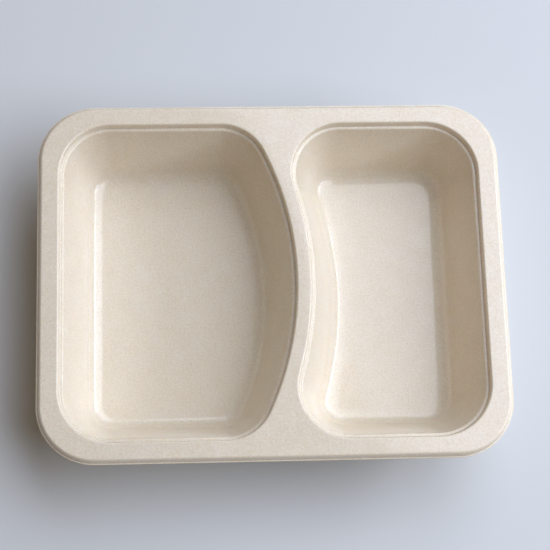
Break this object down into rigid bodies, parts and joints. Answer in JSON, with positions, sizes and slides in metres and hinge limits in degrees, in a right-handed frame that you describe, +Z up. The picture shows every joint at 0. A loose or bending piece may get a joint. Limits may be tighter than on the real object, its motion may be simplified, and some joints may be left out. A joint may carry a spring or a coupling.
{
  "type": "two compartment food tray",
  "caption": "Shallow moulded-fibre food tray with a flat flange, a turned-down lip and a curved divider between its compartments, each with a stepped rim.",
  "frame": {"origin": "on the table under the middle of the tray", "axes": "+Z up out of the compartments, +X along the tray towards the smaller compartment, +Y across it"},
  "size_m": [0.227, 0.178, 0.04],
  "materials": {
    "moulded_fibre": "matte"
  },
  "bodies": {
    "root": {"tray": "moulded_fibre"}
  },
  "joints": []
}
